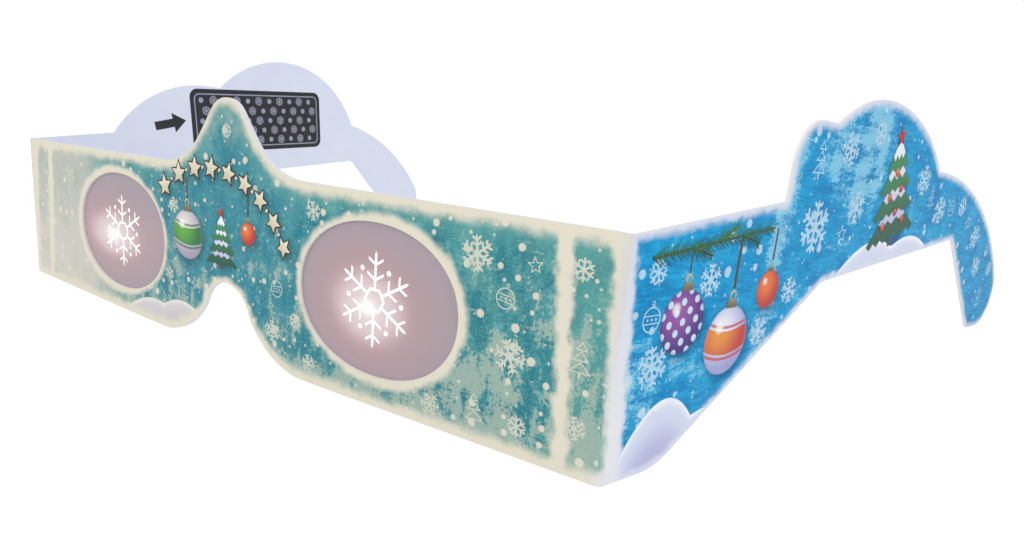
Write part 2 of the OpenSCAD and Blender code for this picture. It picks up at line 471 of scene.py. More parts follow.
card_inside, ink = finish("card_inside")
fibre = ink.place().cloud(0.3, 4, 0.7)
mottle = ink.place().cloud(9, 3, 0.5)
tone = ink.paint((mottle * 0.7 + fibre * 0.3).rise(0.3, 0.7), rgb(226, 232, 252), rgb(233, 238, 254))
shade(ink, Base_Color=tone, Roughness=0.55, Normal=fibre.relief(0.15, 0.03 * mm))

card_core, ink = finish("card_core")
fibre = ink.place().scaled(3, 3, 3).cloud(0.4, 4, 0.8)
shade(ink, Base_Color=ink.paint(fibre, rgb(226, 224, 219), rgb(250, 249, 246)), Roughness=0.85)

front = ruled_copy("front_card", "printed_front", forwards)
front_blank = lay_out(front, forwards, Vector((0, 0, 0)))
face_with(front, forwards, printed_teal, card_inside, card_core)
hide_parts("front_card")
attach(front, "front")


# The inner ply is plain card of the same outline, glued behind the front. It hides the films'
# edges and stops just short of the folds. Its solid is right as it is, and so is the glue's.
frame["nodes"]["back_card"].material_slots[0].material = card_inside

glue_line, ink = finish("glue_line")
tone = ink.paint(ink.place().cloud(1.5, 3, 0.6), rgb(206, 200, 182), rgb(236, 231, 214))
shade(ink, Base_Color=tone, Roughness=0.35)
frame["nodes"]["glue_layer"].material_slots[0].material = glue_line


# Each window holds a patch of thin mauve film with fine ruled lines. A bright spot of light is
# painted into it, with a soft pink halo, and the spot glows a little.
painted_glints = {"left": (33.4, -17.1, 1.3, 1.0, 1.12), "right": (-38.2, -16.9, 2.0, 1.5, 1.4)}

for side, (glint_x, glint_z, squash, core_size, halo_size) in painted_glints.items():
    lens_film, ink = finish("lens_film_" + side)
    place = ink.place()
    flat = ink.node("ShaderNodeCombineXYZ", None, {0: place.part("X"), 1: place.part("Z")})
    away = flat.scaled(1, squash).away(glint_x, glint_z * squash)
    halo = away / halo_size
    core = away / core_size
    streak = flat.scaled(0.05, 2.2).cloud(1.0, 3, 0.6)
    veil = flat.cloud(16, 2, 0.5)
    tone = ink.paint(veil.rise(0.35, 0.65), rgb(172, 160, 172), rgb(177, 160, 168))
    # Painted glint: rings of soft pink halo and a white core of light are laid into the film's colour.
    tone = ink.paint((halo + (veil - 0.5) * 8).rise(16, 6.5), tone, rgb(190, 159, 165))
    tone = ink.paint(halo.rise(9.5, 4.5), tone, rgb(207, 177, 182))
    tone = ink.paint(halo.rise(7.5, 4.0), tone, rgb(228, 203, 207))
    tone = ink.paint(halo.rise(6.2, 1.6) * 0.9, tone, rgb(242, 226, 228))
    tone = ink.paint(core.rise(2.8, 0.3), tone, rgb(255, 253, 253))
    tone = ink.paint(streak.rise(0.5, 0.75) * 0.06, tone, rgb(214, 206, 214))
    # The film is less see-through at the painted glint's core.
    clear = 0.88 + core.rise(4.0, 0.5) * 0.12
    ripple = veil + flat.scaled(0.2, 7).cloud(1.0, 2, 0.5) * 0.1
    shade(ink, Base_Color=tone, Roughness=0.3, Alpha=clear, Normal=ripple.relief(0.08, 0.05 * mm))
    # Painted glow: the glint's core shines a little, though the film is no lamp.
    glint_glow = ink.paint(core.rise(1.9, 0.1), (0, 0, 0, 1), (1, 0.97, 0.98, 1))
    shade(ink, Emission_Color=glint_glow, Emission_Strength=0.14)
    frame["nodes"][side + "_lens_film"].material_slots[0].material = lens_film


# Each arm is the same printed card, hooked to sit over the ear, with a scalloped head. It is
# printed blue outside, with a soft pale margin, and left pale inside.
deep_blue = rgb(0, 132, 194)
blue = rgb(4, 163, 220)
sky = rgb(58, 184, 228)
frost = rgb(146, 212, 238)
snow_blue = rgb(206, 230, 246)
lavender = rgb(224, 229, 246)
painted_shadow_blue = rgb(8, 44, 92)


def arm_white(ink, z):
    """The bare card at an arm's root, which is lighter towards its foot."""
    return ink.paint(z.rise(-4, -24), rgb(222, 227, 242), rgb(236, 237, 241))


printed_blue, ink = finish("printed_card_blue")
blank = ink.noted_place("blank")
x = blank.part("X")
z = blank.part("Y")
fray = blank.cloud(2.4, 3, 0.55) - 0.5
blotch = blank.cloud(8, 4, 0.62)
slant = blank.scaled(0.3, 1).cloud(2.2, 5, 0.72)
column = blank.scaled(1, 0.14).cloud(5.5, 3, 0.6)
grain = blank.cloud(0.55, 3, 0.75)
speck = blank.cloud(0.28, 2, 0.8)
tone = ink.paint(slant.rise(0.36, 0.62), deep_blue, blue)
tone = ink.paint((blotch * 0.55 + grain * 0.45).rise(0.46, 0.62) * 0.5, tone, sky)
stroke = blank.scaled(0.16, 1).cloud(0.5, 3, 0.7)
tone = ink.paint(stroke.rise(0.54, 0.64) * 0.5, tone, rgb(0, 120, 182))
tone = ink.paint(stroke.rise(0.45, 0.36) * 0.4, tone, sky)
along = abs(x) - fold_x
snowfall = (along - 31.2) / 3.4
head = ((along - 50.3) ** 2 + (z - 14) ** 2) ** 0.5
low_end = ((along - 3.8) ** 2 + (z + 19) ** 2) ** 0.5
worn = slant * 0.36 + blotch * 0.18 + column * 0.28 + grain * 0.22
worn = worn + (snowfall * snowfall).rise(1.6, 0) * 0.085 + head.rise(17, 7) * 0.105
worn = worn + low_end.rise(9, 3) * 0.07
tone = ink.paint(worn.rise(0.57, 0.63) * 0.8, tone, frost)
tone = ink.paint(speck.rise(0.58, 0.7) * 0.3, tone, frost)
crack = blank.scaled(0.9, 0.1).cloud(0.8, 4, 0.8)
tone = ink.paint(crack.rise(0.64, 0.72) * slant.rise(0.55, 0.42) * 0.4, tone, rgb(8, 92, 156))
tone = ink.paint(snow_dots(blank, 3.4, 0.8, 0.45) * 0.75, tone, snow_blue)
tone = ink.paint(snow_dots(blank, 1.8, 0.28, 0.35) * 0.6, tone, snow_blue)
# Painted shadow: dark blue where the mesh notes the motifs' soft cast shadows.
tone = ink.paint(ink.noted("shadow") * 0.62, tone, painted_shadow_blue)
tone = snow_over(ink, tone, fray, rgb(247, 249, 255), rgb(222, 228, 248), rgb(190, 192, 228))
inked = (ink.noted("rim") + fray * 1.4).rise(0.1, 1.6)
margin = ink.paint(along.rise(4.3, 1.3), lavender, arm_white(ink, z))
tone = ink.paint(inked * bands(x, z, fray, -1), margin, tone)
sheen = 0.38 + grain * 0.12
paper = blank.cloud(0.16, 3, 0.6).relief(0.12, 0.03 * mm)
shade(ink, Base_Color=tone, Roughness=sheen, Specular_IOR_Level=0.12, Normal=paper)

arms = {}
arm_blank = {}
arm_out = {}
fold_at = {}
for joint in frame["joints"]:
    node = joint["child"]
    fold_at[node] = Vector(joint["pos_m"])
    faces = frame["nodes"][node].data.polygons
    flank = max(faces, key=lambda face: face.area).normal
    arm_out[node] = flank.copy() if flank.x * fold_at[node].x > 0 else -flank
    arm = ruled_copy(node, "printed_" + node, arm_out[node])
    arm_blank[node] = lay_out(arm, arm_out[node], fold_at[node])
    face_with(arm, arm_out[node], printed_blue, card_inside, card_core)
    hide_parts(node)
    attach(arm, node)
    arms[node] = arm


# The card bends at a crease where an arm meets the front. The strip that bends is cream at the
# front and paler at the arm, with fine cracks along it and the end of the front's teal.
fold_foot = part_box("left_fold")[0].z / mm

crease_card, ink = finish("crease_card")
crackle = ink.place().scaled(2.5, 2.5, 0.35).cloud(0.5, 4, 0.8)
blank = ink.noted_place("blank")
x = blank.part("X")
z = blank.part("Y")
fray = blank.cloud(2.6, 3, 0.55) - 0.5
tone = ink.paint((abs(x) - fold_x).rise(0.4, 1.0), fold_white(ink, x, z), arm_white(ink, z))
inked = bands(x, z, fray, 1) * (z - fold_foot + fray * 2).rise(0.6, 2.6)
end_tone = ink.paint(blank.cloud(3, 4, 0.65).rise(0.46, 0.54), end_green, sage)
end_tone = ink.paint(x.rise(10, -10), end_tone, far_grey(ink, z))
tone = ink.paint(inked * 0.8, tone, end_tone)
tone = ink.paint(crackle.rise(0.56, 0.72) * 0.5, tone, rgb(250, 249, 246))
shade(ink, Base_Color=tone, Roughness=0.6, Normal=crackle.relief(0.3, 0.05 * mm))

for side in ("left", "right"):
    node = side + "_arm"
    crease = merged_copy(side + "_fold", side + "_crease")
    crease.data.materials.append(crease_card)
    bpy.ops.object.shade_smooth_by_angle(angle=math.radians(40))
    pivot = Vector((fold_at[node].x, fold_at[node].y, 0))
    spokes = [Vector((v.co.x - pivot.x, v.co.y - pivot.y, 0)) for v in crease.data.vertices]
    bend = forwards.angle(arm_out[node])
    places = [
        (math.copysign(fold_x + forwards.angle(spoke) / bend, pivot.x), v.co.z / mm, 0)
        for spoke, v in zip(spokes, crease.data.vertices)
    ]
    note(crease, "blank", places)
    mean_r = sum(spoke.length for spoke in spokes) / len(spokes)
    half_card = (max(s.length for s in spokes) - min(s.length for s in spokes)) / 2
    at_front = pivot + forwards * mean_r
    at_arm = pivot + arm_out[node] * mean_r
    inset = (at_arm - at_front).normalized() * half_card
    ends = (at_front + inset, at_arm - inset)
    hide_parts(side + "_fold")
    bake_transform(crease)


# The print has snowflakes of three forms, in pale ink that is worn through in specks. Each is a
# thin layer of ink, drawn once, flat and in millimetres, and copied to every place that has it.
drawings = []


def begin():
    """Starts an empty drawing, in edit mode."""
    bpy.ops.object.select_all(action="DESELECT")
    bpy.ops.object.add(type="MESH")
    bpy.ops.object.mode_set(mode="EDIT")
    bpy.ops.mesh.select_mode(type="VERT")


def none_picked(kind):
    """The drawing that is being made, ready for its points or edges to be selected."""
    bpy.ops.mesh.select_mode(type=kind)
    bpy.ops.mesh.select_all(action="DESELECT")
    return bmesh.from_edit_mesh(bpy.context.object.data)


def pick(kind, test):
    """Selects the drawing's points, or its edges by their middle, that pass the test."""
    drawing = none_picked(kind)
    for part in {"VERT": drawing.verts, "EDGE": drawing.edges}[kind]:
        middle = part.co if kind == "VERT" else (part.verts[0].co + part.verts[1].co) / 2
        part.select_set(bool(test(middle)))
    bmesh.update_edit_mesh(bpy.context.object.data)


def pick_latest(*numbers):
    """Selects some of the points that were added last, counted back from the end."""
    drawing = none_picked("VERT")
    drawing.verts.ensure_lookup_table()
    for number in numbers:
        drawing.verts[-number].select_set(True)
    drawing.select_flush(True)
    bmesh.update_edit_mesh(bpy.context.object.data)


def strip(start, end, width, tip=1.0, lift=0.0):
    """Adds a straight strip from start to end, which narrows to this share of its width."""
    lean = math.atan2(end[1] - start[1], end[0] - start[0])
    heading = Vector((math.cos(lean), math.sin(lean), 0))
    middle = Vector((start[0], start[1], lift)) + heading * width / 2
    bpy.ops.mesh.primitive_plane_add(size=width, location=middle, rotation=(0, 0, lean))
    pick_latest(1, 3)
    bpy.ops.transform.translate(value=heading * (math.dist(start, end) - width))
    if tip < 1:
        bpy.ops.transform.resize(value=(tip, tip, 1))


def hollowed(line):
    """Leaves the selected faces as outlines of this thickness."""
    bpy.ops.mesh.select_mode(type="FACE")
    bpy.ops.mesh.inset(thickness=line, use_individual=True)
    bpy.ops.mesh.delete(type="FACE")


def disc(x, y, radius, corners, line=0.0, turned=0):
    """Adds a round, or a ring whose line is this thick."""
    lean = (0, 0, math.radians(turned))
    bpy.ops.mesh.primitive_circle_add(
        vertices=corners, radius=radius, fill_type="NGON", location=(x, y, 0), rotation=lean
    )
    if line:
        hollowed(line)


def drawn(name, material):
    """Ends a drawing: its faces look up, and each point notes its own place in it."""
    pick_all()
    bpy.ops.mesh.normals_make_consistent(inside=False)
    bpy.ops.object.mode_set(mode="OBJECT")
    drawing = bpy.context.object
    drawing.name = name
    for face in drawing.data.polygons:
        if face.normal.z < 0:
            face.flip()
    note(drawing, "motif", [v.co for v in drawing.data.vertices])
    drawing.data.materials.append(material)
    drawings.append(drawing)
    return drawing


def snowflake(name, material, reach, width, twigs, heart, line=0.0):
    """Six arms, with twigs in pairs. Each pair is its distance out and its length."""
    begin()
    lean = math.radians(60)
    strip((0, heart * math.sin(lean)), (0, reach - width), width)
    for out, length in twigs:
        for y in (out, out + width):
            pick_all()
            bpy.ops.mesh.bisect(plane_co=(0, y, 0), plane_no=(0, 1, 0))
        for side in (-1, 1):
            pick("EDGE", lambda p: abs(p.x - side * width / 2) < width / 9 and out < p.y < out + width)
            grow = (side * length * math.sin(lean), length * math.cos(lean), 0)
            bpy.ops.mesh.extrude_region_move(TRANSFORM_OT_translate={"value": grow})
    pick("EDGE", lambda p: p.y > reach - width * 1.1 and abs(p.x) < width / 9)
    bpy.ops.mesh.extrude_region_move(TRANSFORM_OT_translate={"value": (0, width, 0)})
    bpy.ops.mesh.merge(type="CENTER")
    pick_all()
    bpy.ops.mesh.spin(steps=6, dupli=True, angle=math.radians(360), center=(0, 0, 0), axis=(0, 0, 1))
    disc(0, 0, heart, 6, line, 30)
    pick_all()
    bpy.ops.mesh.remove_doubles(threshold=width / 8)
    return drawn(name, material)


def worn_ink(name, colour):
    material, ink = finish(name)
    shade(ink, Base_Color=colour, Roughness=0.5, Alpha=ink.place().cloud(0.4, 3, 0.7).rise(0.66, 0.6))
    return material


snow_inks = {
    "cream": worn_ink("cream_snow_ink", rgb(208, 213, 198)),
    "blue": worn_ink("blue_snow_ink", rgb(182, 219, 243)),
}
small_prints = {}
for tint, material in snow_inks.items():
    for kind, width, twigs, heart in (
        ("full", 0.15, ((0.36, 0.26), (0.66, 0.24)), 0.2),
        ("plain", 0.18, ((0.48, 0.34),), 0.18),
        ("sharp", 0.16, ((0.42, 0.2), (0.68, 0.28)), 0.28),
    ):
        small_prints[kind, tint] = snowflake(kind + "_flake", material, 1.0, width, twigs, heart)


# Between the flakes are small line drawings of baubles, fir trees and stars, in the same pale
# ink. Their lines are left when the inside of each form is cut out.
def fir_layer(foot, half, tip):
    """Adds one layer of a fir tree: a triangle that stands on its foot."""
    bpy.ops.mesh.primitive_plane_add(size=2 * half, location=(0, foot + half, 0))
    pick_latest(1, 2)
    bpy.ops.transform.translate(value=(0, tip - foot - 2 * half, 0))
    bpy.ops.mesh.merge(type="CENTER")


def five_points(reach, waist):
    """Adds a star: a ring of ten corners, of which every second one is drawn in."""
    bpy.ops.mesh.primitive_circle_add(vertices=10, radius=reach, fill_type="NGON")
    pick("VERT", lambda p: round(math.degrees(math.atan2(p.x, p.y)) / 36) % 2 == 1)
    bpy.ops.transform.resize(value=(waist, waist, 1))
    pick_all()


for tint, material in snow_inks.items():
    begin()
    disc(0, 0, 1.5, 28, 0.17)
    disc(0, 1.85, 0.3, 12, 0.12)
    strip((-1.2, 0.45), (1.2, 0.45), 0.14)
    strip((-1.2, -0.45), (1.2, -0.45), 0.14)
    for x in (-0.7, 0, 0.7):
        disc(x, 0, 0.16, 10)
    small_prints["bauble", tint] = drawn("line_bauble", material)

    begin()
    for foot, half, tip in ((-2.2, 1.5, -0.8), (-0.8, 1.15, 0.5), (0.5, 0.8, 1.6)):
        fir_layer(foot, half, tip)
    pick_all()
    hollowed(0.16)
    strip((0, -2.2), (0, -2.9), 0.3)
    small_prints["fir", tint] = drawn("line_fir", material)

    begin()
    five_points(1.5, 0.45)
    hollowed(0.17)
    small_prints["star", tint] = drawn("line_star", material)


# The big motifs are coloured: fir trees, glass baubles on threads, stars and a fir twig. They
# are printed in inks that are shaded in themselves, from light to dark.
def plain_ink(name, light, dark, low, high):
    """An ink that darkens down a drawing, between two heights of it."""
    material, ink = finish(name)
    y = ink.noted_place("motif").part("Y")
    height = y + (ink.place().cloud(0.5, 3, 0.7) - 0.5) * (high - low) * 0.5
    shade(ink, Base_Color=ink.paint(height.rise(high, low), light, dark), Roughness=0.45)
    return material


def bauble(name, light, dark, band=None, dots=None):
    """A shiny ball of painted glass, of radius 1, with a coloured band or pale dots."""
    material, ink = finish(name + "_glass_ink")
    place = ink.noted_place("motif")
    tone = ink.paint(place.away(-0.25, 0.3).rise(0.1, 1.3), light, dark)
    if band:
        bow = place.part("Y") - place.part("X") ** 2 * 0.22 + 0.08
        colour = ink.paint(place.away(-0.3, 0.3).rise(0.1, 1.2), band[0], band[1])
        tone = ink.paint(abs(bow).rise(0.36, 0.33), tone, colour)
        tone = ink.paint(abs(abs(bow) - 0.46).rise(0.06, 0.03) * 0.8, tone, band[1])
    if dots:
        about = {"Vector": place, "Angle": 0.7}
        turned = place.node("ShaderNodeVectorRotate", {"rotation_type": "Z_AXIS"}, about)
        cells = {"Vector": turned, "Scale": 2.3, "Randomness": 0.0}
        away = place.node("ShaderNodeTexVoronoi", {"voronoi_dimensions": "2D"}, cells, output="Distance")
        tone = ink.paint(away.rise(0.3, 0.25), tone, dots)
    tone = ink.paint(place.away(-0.38, 0.42).rise(0.26, 0.08) * 0.75, tone, rgb(255, 255, 255))
    tone = ink.paint(place.away(0, 0).rise(0.86, 1.02) * 0.35, tone, dark)
    shade(ink, Base_Color=tone, Roughness=0.42)
    begin()
    disc(0, 0, 1.0, 48)
    return drawn(name + "_bauble", material)


def star(name, waist, material):
    begin()
    five_points(1.0, waist)
    return drawn(name, material)


def boughs(foot, half, tip, teeth, drop, lift):
    """Adds one layer of a fir tree with a toothed foot, lifted clear of the layer below it."""
    fir_layer(foot, half, tip)
    near = 1e-4
    pick("EDGE", lambda p: abs(p.y - foot) < near and abs(p.z) < near)
    bpy.ops.mesh.subdivide(number_cuts=2 * teeth - 1)
    pick("VERT", lambda p: abs(p.y - foot) < near and round((p.x + half) / half * teeth) % 2 == 1)
    bpy.ops.transform.translate(value=(0, -drop, 0))
    pick("VERT", lambda p: abs(p.z) < near and foot - drop - near < p.y < tip + near)
    bpy.ops.transform.translate(value=(0, 0, lift))


bark = plain_ink("bark_ink", rgb(84, 68, 58), rgb(46, 38, 36), -1.0, 1.0)
needle = plain_ink("needle_ink", rgb(64, 150, 84), rgb(20, 84, 58), -1.5, 2.0)
bough = plain_ink("bough_ink", rgb(58, 146, 92), rgb(16, 84, 62), -1.0, 17.0)
cap_snow = plain_ink("cap_snow_ink", rgb(244, 247, 255), rgb(188, 190, 228), 0.0, 17.0)
brass = plain_ink("brass_ink", rgb(206, 190, 140), rgb(120, 104, 76), 1.0, 1.4)
red_paint = plain_ink("red_star_ink", rgb(216, 64, 56), rgb(160, 26, 36), -1.0, 1.0)
pale_paint = plain_ink("pale_star_ink", rgb(238, 232, 208), rgb(204, 194, 164), -1.0, 1.0)
dark_paint = plain_ink("dark_star_ink", rgb(58, 48, 38), rgb(44, 38, 34), -1.0, 1.0)

purple_ball = bauble("purple", rgb(150, 80, 168), rgb(62, 36, 130), dots=rgb(206, 226, 246))
orange_band = (rgb(238, 150, 52), rgb(200, 46, 44))
frosty_ball = bauble("frosty", rgb(238, 242, 253), rgb(160, 160, 214), band=orange_band)
green_band = (rgb(96, 176, 60), rgb(22, 112, 66))
snowy_ball = bauble("snowy", rgb(232, 226, 224), rgb(164, 154, 178), band=green_band)
orange_ball = bauble("orange", rgb(240, 122, 48), rgb(190, 40, 36))
red_ball = bauble("red", rgb(222, 76, 60), rgb(150, 22, 34))

begin()
strip((0, 0.94), (0, 1.14), 0.46)
disc(0, 1.3, 0.16, 14, 0.06)
ball_cap = drawn("bauble_cap", brass)

begin()
strip((0, 0.04), (0, 0.96), 0.08)
thread = drawn("thread", bark)

begin()
strip((0, 0), (0, 2.2), 1.3)
trunk = drawn("fir_trunk", bark)

fir_height = 17.0
fir_layers = (
    (1.2, 8.2, 7.6, 7, 0.8), (5.2, 6.7, 11.0, 6, 0.75), (9.0, 5.2, 14.0, 5, 0.7),
    (12.2, 3.5, fir_height, 4, 0.6),
)
layer_lift = 0.004
snow_share = 0.56
snow_teeth = 3
snow_drop = 0.9
begin()
for i, (foot, half, tip, teeth, drop) in enumerate(fir_layers):
    boughs(foot, half, tip, teeth, drop, layer_lift * (2 * i + 1))
fir = drawn("fir_boughs", bough)
begin()
for i, (foot, half, tip, *_) in enumerate(fir_layers):
    line = tip - (tip - foot) * snow_share
    boughs(line, half * snow_share, tip, snow_teeth, snow_drop, layer_lift * (2 * i + 2))
fir_snow = drawn("fir_snow", cap_snow)

red_star = star("red_star", 0.42, red_paint)
pale_star = star("pale_star", 0.46, pale_paint)
dark_star = star("dark_star", 0.52, dark_paint)
begin()
disc(0, 0, 1.0, 16)
bead = drawn("bead", pale_paint)

stem_length = 26
side_length = 4.4
side_spread = 1.7
needle_gap = 0.62
begin()
stems = [((0, 0), (stem_length, 0))]
for x, side in ((7.5, -1), (13, 1), (18, -1)):
    stems.append(((x, 0), (x + side_length, side * side_spread)))
for i, (foot, tip) in enumerate(stems):
    strip(foot, tip, 0.36 if i else 0.5, 0.4, layer_lift if i else 0)
twig = drawn("twig_stem", bark)
rng = random.Random(5)
begin()
for (x0, y0), (x1, y1) in stems:
    length = math.hypot(x1 - x0, y1 - y0)
    lean = math.atan2(y1 - y0, x1 - x0)
    for i in range(int(length / needle_gap)):
        share = (i + 0.5) * needle_gap / length
        for side in (-1, 1):
            out = lean + side * math.radians(rng.uniform(32, 52))
            reach = rng.uniform(1.5, 2.3) * (1 - 0.35 * share)
            root = Vector((x0 + share * (x1 - x0), y0 + share * (y1 - y0)))
            point = root + reach * Vector((math.cos(out), math.sin(out)))
            strip(root, point, 0.26, 0.15, layer_lift / 2 * rng.randrange(9))
needles = drawn("twig_needles", needle)


# The front's print has a string of stars over the nose, two baubles and a fir under it, snow on
# the cheek and flakes all over. It is one thin mesh that lies on the printed card. The motifs'
# soft shadows are painted into the card's own print, and the snow is printed there too, where the mesh
# notes them.
ink_lift = 0.02
ring_top = 1.44
shadow_shift = (0.5, -0.6)
shadow_reach = 1.1
shadow_blur = 1.8
no_snow = -60.0


def sheet_over(node, out, start=0.0):
    """Turns flat places on a card, in millimetres, into places on its face that looks along out."""
    along = upright.cross(out)
    base = Vector((fold_at[node].x, fold_at[node].y, 0)) if node in fold_at else Vector((0, 0, 0))
    face = max((v.co - base).dot(out) for v in frame["nodes"][node].data.vertices)
    turned = Matrix((along, upright, out)).transposed().to_4x4()
    return Matrix.Translation(base + out * face - along * start) @ turned @ Matrix.Scale(mm, 4)


def stamp(name, sheet, stamps, body):
    """Joins copies of drawings into one print. A stamp is a drawing, its place, its size, its
    turn in degrees, and the layer of ink that it lies in."""
    prints = []
    for drawing, x, y, size, turned, layer in stamps:
        copy = drawing.copy()
        copy.data = drawing.data.copy()
        bpy.context.collection.objects.link(copy)
        copy.data.transform(
            sheet
            @ Matrix.Translation((x, y, ink_lift * layer))
            @ Matrix.Rotation(math.radians(turned), 4, "Z")
            @ Matrix.Scale(size, 4)
        )
        prints.append(copy)
    select_only(*prints)
    bpy.ops.object.join()
    made = bpy.context.object
    made.name = name
    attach(made, body)


def scattered(tint, spread):
    """Stamps of flakes and small drawings. Each is its kind, its place, its size and its turn."""
    return [(small_prints[kind, tint], x, z, size, turned, 1) for kind, x, z, size, turned in spread]


def hung(ball, x, z, radius, top):
    """A bauble with its cap, on a thread that hangs from the height top."""
    hook = z + ring_top * radius
    return [
        (ball, x, z, radius, 0, 1),
        (ball_cap, x, z, radius, 0, 2),
        (thread, x, hook, max(top - hook, 0.1), 0, 1),
    ]


def snowy_fir(x, z, size, turned):
    lean = math.radians(turned)
    sunk = size * 0.6
    return [
        (trunk, x + sunk * math.sin(lean), z - sunk * math.cos(lean), size, turned, 1),
        (fir, x, z, size, turned, 1),
        (fir_snow, x, z, size, turned, 1),
    ]


def shade_under(piece, blank, rounds, hills):
    """Notes how deep each point lies in the shadows of round motifs, and its height above the
    hills of snow. Each hill is its middle, its peak, its half width and its fall over that."""
    x = blank[:, 0]
    z = blank[:, 1]
    shadow = np.zeros(len(x))
    for mid_x, mid_z, radius in rounds:
        away = np.hypot(x - mid_x - shadow_shift[0], z - mid_z - shadow_shift[1])
        shadow = np.maximum(shadow, np.clip((radius + shadow_reach - away) / shadow_blur, 0, 1))
    snow = np.full(len(x), no_snow)
    for mid_x, peak, half, fall in hills:
        snow = np.maximum(snow, peak - fall * ((x - mid_x) / half) ** 2)
    note(piece, "shadow", shadow)
    note(piece, "drift", z - snow)


front_spread = (
    ("full", 52.4, -5.6, 2.6, 8), ("sharp", 58.6, -18.0, 2.4, 20), ("plain", 60.6, -27.0, 1.6, 5),
    ("full", 68.6, -24.6, 1.7, 12), ("plain", 67.4, -5.0, 1.6, 0), ("full", 46.4, -28.3, 1.8, 30),
    ("plain", 18.0, -22.6, 1.5, 10), ("full", 12.4, -25.6, 2.0, 0), ("sharp", 21.4, -29.0, 1.6, 15),
    ("plain", 0.2, 6.4, 1.4, 20), ("sharp", 21.6, -4.2, 1.6, 5), ("full", -15.6, -8.0, 1.6, 10),
    ("sharp", -54.6, -6.2, 2.3, 0), ("full", -58.6, -19.0, 2.5, 14), ("plain", -68.6, -12.4, 1.6, 6),
    ("plain", -50.2, -27.2, 1.6, 25), ("sharp", -68.0, -24.0, 1.5, 10), ("full", -17.4, -21.2, 1.4, 0),
    ("bauble", 57.2, -10.6, 0.95, -8), ("fir", 53.8, -26.0, 1.0, 6), ("star", 61.0, -5.6, 0.8, 10),
    ("fir", 68.4, -15.2, 1.05, 0), ("bauble", 13.4, -18.2, 0.95, 6), ("star", 15.0, -28.9, 0.8, 0),
    ("bauble", -60.2, -9.6, 0.95, 8), ("fir", -54.0, -24.6, 1.0, 0), ("star", -9.2, -21.6, 0.9, 20),
)
garland = (
    (-18.4, -4.6), (-13.8, -1.9), (-9.0, -0.5), (-4.2, -0.1), (0.6, -0.6),
    (5.0, -1.9), (9.0, -4.1), (12.4, -7.2), (15.0, -11.0),
)
first_star = 2.15
star_shrink = 0.055
dark_rim = 1.22
star_shade = 1.5
front_balls = ((snowy_ball, -11.4, -12.9, 4.5, -2.4), (orange_ball, 5.9, -10.2, 1.9, -2.6))
front_fir_x = -1.4

front_stamps = scattered("cream", front_spread)
for i, (x, z) in enumerate(garland):
    size = first_star - star_shrink * i
    tilt = 8 - 6 * i
    front_stamps += [(dark_star, x, z, size * dark_rim, tilt, 2), (pale_star, x, z, size, tilt, 3)]
    if i:
        mid_x = (x + garland[i - 1][0]) / 2
        mid_z = (z + garland[i - 1][1]) / 2
        front_stamps += [(dark_star, mid_x, mid_z, 0.62, 0, 2), (bead, mid_x, mid_z, 0.32, 0, 3)]
for ball in front_balls:
    front_stamps += hung(*ball)
front_stamps += snowy_fir(front_fir_x, -17.2, 0.54, 0)
front_stamps += [(red_star, front_fir_x, -7.6, 1.0, 0, 4)]
stamp("front_print", sheet_over("front_card", forwards), front_stamps, "front")

rounds = [(x, z, star_shade) for x, z in garland] + [ball[1:4] for ball in front_balls]
hills = ((-13.5, -25.9, 7.0, 2.4), (-22.5, -27.4, 8.0, 2.2))
shade_under(front, front_blank, rounds + [(front_fir_x, -14.5, 2.4)], hills)


# Each arm's print is laid out alike, from the fold back: three baubles on a fir twig, a dressed
# fir on a mound of snow, and flakes as far as the hook. On the right arm it runs the other way.
arm_spread = (
    ("full", 6.2, -16.6, 2.9, 10), ("full", 40.2, 0.4, 4.2, 0), ("sharp", 29.4, -14.6, 2.2, 20),
    ("plain", 4.8, -4.6, 1.8, 15), ("sharp", 15.6, -6.2, 2.3, 0), ("sharp", 36.0, -9.0, 2.1, 10),
    ("full", 46.8, 12.2, 2.9, 20), ("sharp", 52.6, 3.4, 2.8, 5), ("plain", 56.0, 15.2, 2.3, 12),
    ("full", 78.0, 8.6, 3.0, 0), ("sharp", 89.0, 3.2, 2.8, 8), ("plain", 101.4, 4.0, 2.3, 15),
    ("full", 113.6, -2.6, 2.9, 25), ("sharp", 119.6, -9.6, 2.5, 10), ("plain", 129.6, -10.6, 2.0, 0),
    ("bauble", 4.8, -10.4, 1.1, 0), ("fir", 38.2, 11.0, 1.25, 0), ("star", 49.4, -0.8, 1.1, 10),
    ("fir", 83.4, 6.2, 1.0, 4), ("bauble", 95.2, 3.6, 1.1, 0), ("star", 107.0, 0.6, 1.2, 20),
    ("bauble", 124.6, -5.6, 1.1, 10), ("fir", 127.0, -16.6, 1.2, 0),
)
twig_at = (3.4, -2.9)
twig_rise = 7.4
arm_balls = (
    (purple_ball, 11.0, -11.3, 4.3, -1.8), (frosty_ball, 21.4, -15.0, 4.9, -0.5),
    (orange_ball, 30.0, -8.4, 2.8, 0.6),
)
fir_foot = {"left_arm": (68.3, -2.6), "right_arm": (72.0, -2.6)}
fir_tip = {"left_arm": (64.0, 15.4), "right_arm": (68.6, 21.0)}
fir_balls = ((-3.6, 0.2), (0.8, 0.29), (3.9, 0.18), (-1.9, 0.46), (2.2, 0.5), (0.0, 0.67))
fir_ball_r = 0.72
fir_shade = ((0.22, 5.0), (0.52, 3.6), (0.78, 2.2))

